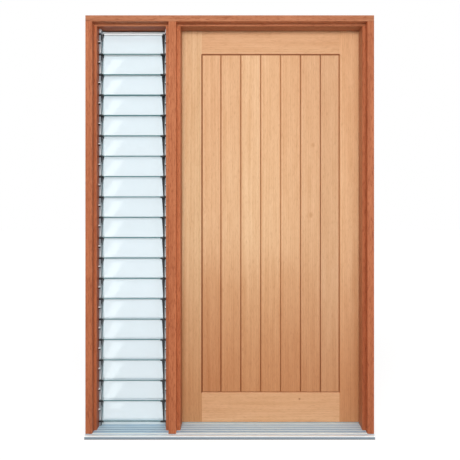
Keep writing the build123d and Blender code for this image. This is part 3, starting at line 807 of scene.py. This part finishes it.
def glass_blade(node):
    """One blade: a slab with pencil-round edges, leaned in at the top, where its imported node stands."""
    low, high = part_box(node)
    slab = bmesh.new()
    bmesh.ops.create_cube(slab, size=1)
    bmesh.ops.scale(slab, vec=(high.x - low.x, BLADE_THICKNESS, BLADE_HEIGHT), verts=slab.verts)
    bmesh.ops.bevel(
        slab, geom=slab.edges[:], offset=BLADE_EDGE_ROUND, offset_type="OFFSET",
        affect="EDGES", segments=4, profile=0.5, material=-1,
    )
    strip_top = Vector((0, 0, LOW_EDGE_SHOWS - BLADE_HEIGHT / 2))
    channel_place = Vector(((high.x - low.x) / 2 - CHANNEL_WIDTH, 0, 0))
    channel_side = Vector((1, 0, CHANNEL_SLOPE))
    for place, side in ((strip_top, (0, 0, 1)), (channel_place, channel_side)):
        whole = slab.verts[:] + slab.edges[:] + slab.faces[:]
        bmesh.ops.bisect_plane(slab, geom=whole, plane_co=place, plane_no=side)
    bmesh.ops.recalc_face_normals(slab, faces=slab.faces)
    for face in slab.faces:
        middle = face.calc_center_median()
        ground = middle.z < strip_top.z or abs(face.normal.y) < 0.99
        in_channel = (middle - channel_place).dot(channel_side) > 0
        face.material_index = 2 if in_channel else 1 if ground else 0
    bmesh.ops.rotate(slab, cent=(0, 0, 0), matrix=Matrix.Rotation(-BLADE_TILT, 3, "X"), verts=slab.verts)
    bmesh.ops.translate(slab, vec=(low + high) / 2, verts=slab.verts)
    name = node.replace("louvre_blade", "glass_blade")
    blade = new_piece(name, slab, glass_finish, edge_finish, clip_finish)
    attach(blade, "frame")
    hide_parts(node)
    return blade


blades = [glass_blade(node) for node in blade_nodes]
print("blades", len(blades))

# %% [markdown]
# The clips on the jamb side grip less of the glass than those on the mullion side, so that the sheet's
# corner shows square beside the gallery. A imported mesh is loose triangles: a copy of it is welded first,
# and then squeezed along the wall towards the gallery, which keeps each clip on its arm and slims its foot
# and its tapered leg.

# %% Slim clips
CLIP_SQUEEZE = 0.55
WELD_REACH = 1e-5


def slim_clips(name, node):
    """A slimmer copy of one side's packed clips, held at the side that meets the gallery."""
    low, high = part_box(node)
    clips = bmesh.new()
    clips.from_mesh(nodes[node].data)
    bmesh.ops.remove_doubles(clips, verts=clips.verts, dist=WELD_REACH)
    held = Matrix.Translation((-low.x, 0, 0))
    bmesh.ops.scale(clips, vec=(CLIP_SQUEEZE, 1, 1), space=held, verts=clips.verts)
    piece = new_piece(name, clips, clip_finish)
    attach(piece, "frame")
    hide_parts(node)
    return piece


jamb_clips = slim_clips("jamb_side_clips", "left_blade_clips")
print("slim clips", len(jamb_clips.data.polygons), "faces")

# %% [markdown]
# Every blade but the first carries one slanted bright streak: the image of a light panel in front of the
# door. A photographer gets it by standing a panel where the glass mirrors it into the lens, and the same is
# done here. The camera's sight line to each corner of a streak is mirrored by the blade and followed to the
# panels' plane, and a panel with those corners is set up there. The panels show in mirrors only, so they
# light nothing.

# %% Light panels for the streaks
STREAK_TOP = (-0.605, -0.548)
STREAK_LOW = (-0.649, -0.603)
STREAK_BELOW_TOP = 0.024
STREAK_ABOVE_LOW = 0.003
PANEL_PLANE = -3.4
PANEL_GLOW = 4.0


def panel_finish():
    """A panel that glows an even white."""
    finish, tree, shader = new_finish("light_panel")
    shader.inputs["Base Color"].default_value = (0, 0, 0, 1)
    shader.inputs["Emission Color"].default_value = (0.95, 1.0, 1.0, 1)
    shader.inputs["Emission Strength"].default_value = PANEL_GLOW
    return finish


def mirrored(spot):
    """Where the sight line to a spot on a blade meets the panels' plane after the glass has mirrored it."""
    glass_normal = Vector((0, -math.cos(BLADE_TILT), math.sin(BLADE_TILT)))
    bounced = (spot - camera.location).reflect(glass_normal)
    return spot + bounced * ((PANEL_PLANE - spot.y) / bounced.y)


def streak_corners(blade_node):
    """The corners of one blade's streak on its front face."""
    low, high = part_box(blade_node)
    middle = (low + high) / 2
    up_the_glass = Vector((0, math.sin(BLADE_TILT), math.cos(BLADE_TILT)))
    top = middle + up_the_glass * (BLADE_HEIGHT / 2 - STREAK_BELOW_TOP)
    foot = middle - up_the_glass * (BLADE_HEIGHT / 2 - STREAK_ABOVE_LOW)
    rows = ((top, STREAK_TOP), (foot, STREAK_LOW[::-1]))
    return [Vector((x, spot.y, spot.z)) for spot, ends in rows for x in ends]


panels = bmesh.new()
for node in blade_nodes[1:]:
    panels.faces.new([panels.verts.new(mirrored(corner)) for corner in streak_corners(node)])
light_panels = new_piece("light_panels", panels, panel_finish())
light_panels.visible_camera = False
light_panels.visible_diffuse = False
light_panels.visible_transmission = False
light_panels.visible_shadow = False
print("light panels", len(light_panels.data.polygons))

# %% [markdown]
# Each hinge plate is held by four countersunk screws, which come into view when the leaf stands open. A
# screw head is a flat disc with a cross sunk into it. A grid of nine squares without its corners is the
# cross, pressing it down makes the recess, and bridging its outline to a circle of as many points makes the
# disc round it.

# %% Hinge screws
SCREW_RADIUS = 0.0042
SCREW_PROUD = 0.00025
SCREW_RIM = 0.0010
CROSS_HALF = 0.0024
CROSS_DEPTH = 0.0016
SCREW_HEIGHTS = (0.012, 0.037, 0.063, 0.088)
SCREW_DEPTHS = (0.050, 0.060)
HINGE_BASES = (0.208, 0.998, 1.788)
FRAME_PLATE_FACE = 0.6810
DOOR_PLATE_FACE = 0.6790


def screw_head():
    """A countersunk head at the origin that faces up, with a cross recess."""
    head = bmesh.new()
    bmesh.ops.create_grid(head, x_segments=3, y_segments=3, size=CROSS_HALF)
    middles = {face: face.calc_center_median() for face in head.faces}
    corners = [face for face, at in middles.items() if min(abs(at.x), abs(at.y)) > CROSS_HALF / 3]
    bmesh.ops.delete(head, geom=corners, context="FACES")
    cross = head.faces[:]
    pressed = bmesh.ops.extrude_face_region(head, geom=cross)["geom"]
    bmesh.ops.delete(head, geom=cross, context="FACES")
    floor_corners = [item for item in pressed if isinstance(item, bmesh.types.BMVert)]
    bmesh.ops.translate(head, vec=(0, 0, -CROSS_DEPTH), verts=floor_corners)
    bmesh.ops.scale(head, vec=(0.6, 0.6, 1), verts=floor_corners)
    outline = [edge for edge in head.edges if edge.is_boundary]
    disc = bmesh.ops.create_circle(head, segments=len(outline), radius=SCREW_RADIUS)["verts"]
    bmesh.ops.rotate(head, cent=(0, 0, 0), matrix=Matrix.Rotation(math.pi / len(outline), 3, "Z"), verts=disc)
    rim = [edge for edge in head.edges if edge.is_boundary or edge.is_wire]
    bmesh.ops.bridge_loops(head, edges=rim)
    rim = [edge for edge in head.edges if edge.is_boundary]
    sides = bmesh.ops.extrude_edge_only(head, edges=rim)["geom"]
    lower_rim = [item for item in sides if isinstance(item, bmesh.types.BMVert)]
    bmesh.ops.translate(head, vec=(0, 0, -SCREW_RIM), verts=lower_rim)
    bmesh.ops.translate(head, vec=(0, 0, SCREW_PROUD), verts=head.verts)
    bmesh.ops.recalc_face_normals(head, faces=head.faces)
    mesh = bpy.data.meshes.new("screw_head")
    head.to_mesh(mesh)
    head.free()
    return mesh


def hinge_screws(name, body, plate_face, turn):
    """All the screws in one body's hinge plates, each turned its own way."""
    pattern = screw_head()
    screws = bmesh.new()
    for base in HINGE_BASES:
        for number, height in enumerate(SCREW_HEIGHTS):
            place = Vector((plate_face, SCREW_DEPTHS[number % 2], base + height))
            driven = Matrix.Rotation(sawmill.uniform(0, math.tau), 4, "Z")
            known = len(screws.verts)
            screws.from_mesh(pattern)
            screws.verts.ensure_lookup_table()
            set_in = Matrix.Translation(place) @ Matrix.Rotation(turn, 4, "Y") @ driven
            bmesh.ops.transform(screws, matrix=set_in, verts=screws.verts[known:])
    bpy.data.meshes.remove(pattern)
    piece = new_piece(name, screws, hinge_finish)
    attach(piece, body)
    return piece


screw_sets = [
    hinge_screws("frame_hinge_screws", "frame", FRAME_PLATE_FACE, -math.pi / 2),
    hinge_screws("door_hinge_screws", "door_leaf", DOOR_PLATE_FACE, math.pi / 2),
]
print("screws", [len(piece.data.polygons) for piece in screw_sets], "faces")
